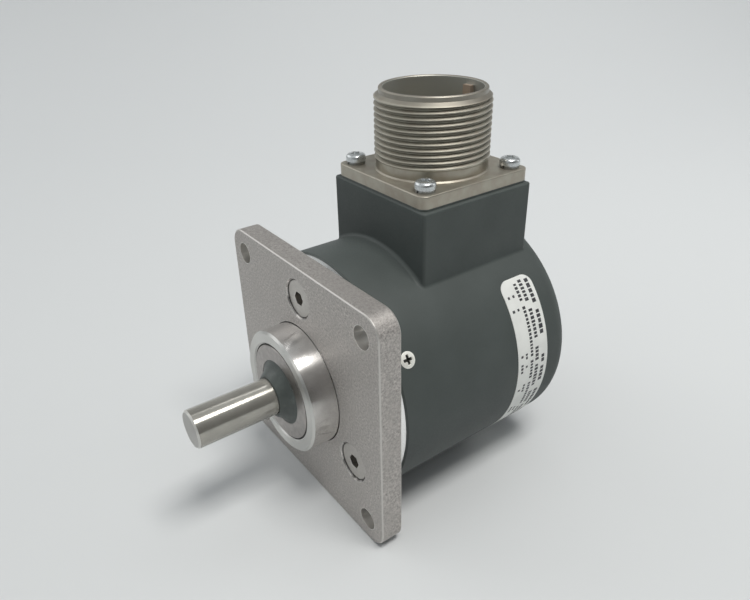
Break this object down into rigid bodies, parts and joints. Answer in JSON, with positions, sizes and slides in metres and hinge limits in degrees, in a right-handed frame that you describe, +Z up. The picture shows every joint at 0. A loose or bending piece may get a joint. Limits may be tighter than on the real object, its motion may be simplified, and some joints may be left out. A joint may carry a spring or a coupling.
{
  "type": "rotary encoder",
  "caption": "Incremental rotary encoder with a solid shaft, square mounting flange, black drum-shaped cover and a threaded circular connector on a square tower.",
  "frame": {"origin": "centre of the flange's front mounting face, on the shaft axis", "axes": "-Y along the shaft, out of the flange's front; +Z up, the way the connector points; +X the side that the label starts on"},
  "size_m": [0.0646, 0.094, 0.0997],
  "materials": {
    "flange_alloy": "tumbled, matt, fine grain",
    "housing_alloy": "fine turned, bright",
    "cover_coat": "satin black powder coat on cast alloy",
    "screw_steel": "plain stainless",
    "zinc_screw": "bright zinc plate",
    "shaft_steel": "ground and polished",
    "bearing_steel": "ground",
    "spring_steel": "oiled spring steel",
    "seal_steel": "pressed sheet",
    "black_rubber": "moulded",
    "connector_nickel": "warm electroless nickel",
    "insert_plastic": "moulded",
    "contact_metal": "plated contact",
    "hub_alloy": "turned",
    "disc_glass": "clear with a printed track",
    "holder_plastic": "moulded",
    "led_resin": "tinted clear resin",
    "board_green": "solder mask on glass epoxy",
    "chip_black": "moulded package",
    "standoff_brass": "nickel-free brass",
    "spacer_plastic": "nylon",
    "label_film": "white film",
    "wire_jacket": "wire insulation"
  },
  "bodies": {
    "root": {"bearing_housing": "housing_alloy", "bearing_retaining_ring": "spring_steel", "board_link_header": "chip_black", "board_screws": "screw_steel", "board_spacers": "spacer_plastic", "board_standoffs": "standoff_brass", "connector_gasket": "black_rubber", "connector_insert": "insert_plastic", "connector_pins": "contact_metal", "connector_screws": "zinc_screw", "connector_shell": "connector_nickel", "cover": "cover_coat", "cover_oring": "black_rubber", "cover_screws": "zinc_screw", "driver_board": "board_green", "driver_board_parts": "chip_black", "flange_plate": "flange_alloy", "flange_screws": "screw_steel", "front_bearing_outer_ring": "bearing_steel", "front_bearing_shields": "spring_steel", "label": "label_film", "led_emitter": "led_resin", "light_holder": "holder_plastic", "light_holder_screws": "screw_steel", "lock_washers": "zinc_screw", "phase_mask": "disc_glass", "photodetector": "chip_black", "rear_bearing_outer_ring": "bearing_steel", "rear_bearing_shields": "spring_steel", "seal_case": "seal_steel", "seal_lip": "black_rubber", "seal_spring": "spring_steel", "sensor_board": "board_green", "sensor_board_parts": "chip_black", "signal_wires": "wire_jacket", "wave_spring": "spring_steel"},
    "shaft_assembly": {"shaft": "shaft_steel", "front_bearing_inner_ring": "bearing_steel", "rear_bearing_inner_ring": "bearing_steel", "disc_hub": "hub_alloy", "hub_set_screws": "spring_steel", "code_disc": "disc_glass"},
    "front_ball_set": {"front_bearing_balls": "bearing_steel", "front_bearing_cage": "spacer_plastic"},
    "rear_ball_set": {"rear_bearing_balls": "bearing_steel", "rear_bearing_cage": "spacer_plastic"}
  },
  "joints": [
    {"name": "shaft_spin", "type": "hinge", "parent": "root", "child": "shaft_assembly", "pos_m": [0, 0, 0], "axis": [0, -1, 0], "continuous": true},
    {"name": "front_balls_orbit", "type": "hinge", "parent": "root", "child": "front_ball_set", "pos_m": [0, 0, 0], "axis": [0, -1, 0], "continuous": true},
    {"name": "rear_balls_orbit", "type": "hinge", "parent": "root", "child": "rear_ball_set", "pos_m": [0, 0, 0], "axis": [0, -1, 0], "continuous": true}
  ],
  "couplings": [
    {"joint": "front_balls_orbit", "follows": "shaft_spin", "ratio": 0.375},
    {"joint": "rear_balls_orbit", "follows": "shaft_spin", "ratio": 0.375}
  ]
}
